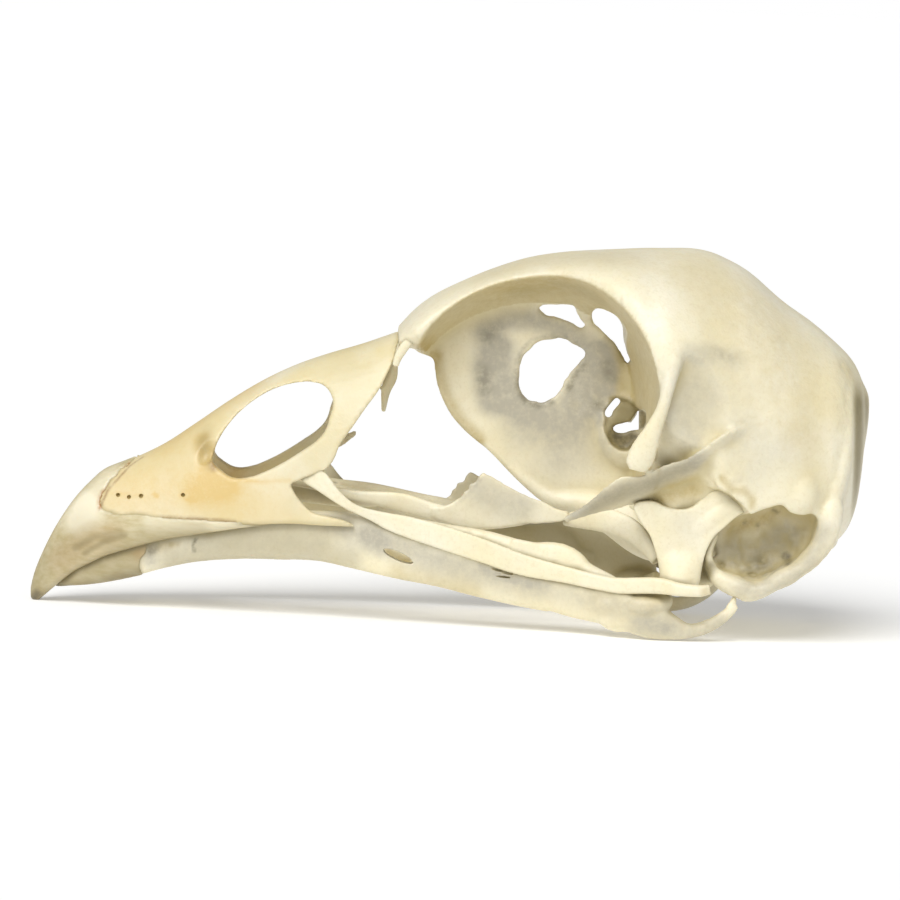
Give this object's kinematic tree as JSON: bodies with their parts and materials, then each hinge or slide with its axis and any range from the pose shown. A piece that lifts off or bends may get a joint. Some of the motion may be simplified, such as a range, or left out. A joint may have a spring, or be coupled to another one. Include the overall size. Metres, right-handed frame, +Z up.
{
  "type": "bird skull",
  "caption": "Life-size wild turkey skull with lower jaw, horn-tipped bill, open nostrils and large eye sockets, resting on its jaw.",
  "frame": {"origin": "on the floor, under the middle of the skull's bounding box", "axes": "+X from the bill tip towards the back of the head, +Y towards the bird's right, +Z up"},
  "size_m": [0.102, 0.0376, 0.0469],
  "materials": {
    "bone": "dry cleaned bone, ivory",
    "bill_bone": "dry cleaned bone, yellower",
    "thin_bone": "thin greyish bone",
    "horn": "grey-tan horn"
  },
  "bodies": {
    "root": {"upper_horn": "horn", "lower_horn": "horn", "premaxilla": "bill_bone", "bill_bridge": "bill_bone", "nasal_left": "bill_bone", "nasal_right": "bill_bone", "maxilla_left": "bill_bone", "maxilla_right": "bill_bone", "forehead": "bone", "braincase": "bone", "interorbital_septum": "thin_bone", "lacrimal_left": "bone", "lacrimal_right": "bone", "jugal_left": "bone", "jugal_right": "bone", "palatine_left": "bone", "palatine_right": "bone", "pterygoid_left": "bone", "pterygoid_right": "bone", "quadrate_left": "bone", "quadrate_right": "bone", "mandible": "bone"}
  },
  "joints": []
}
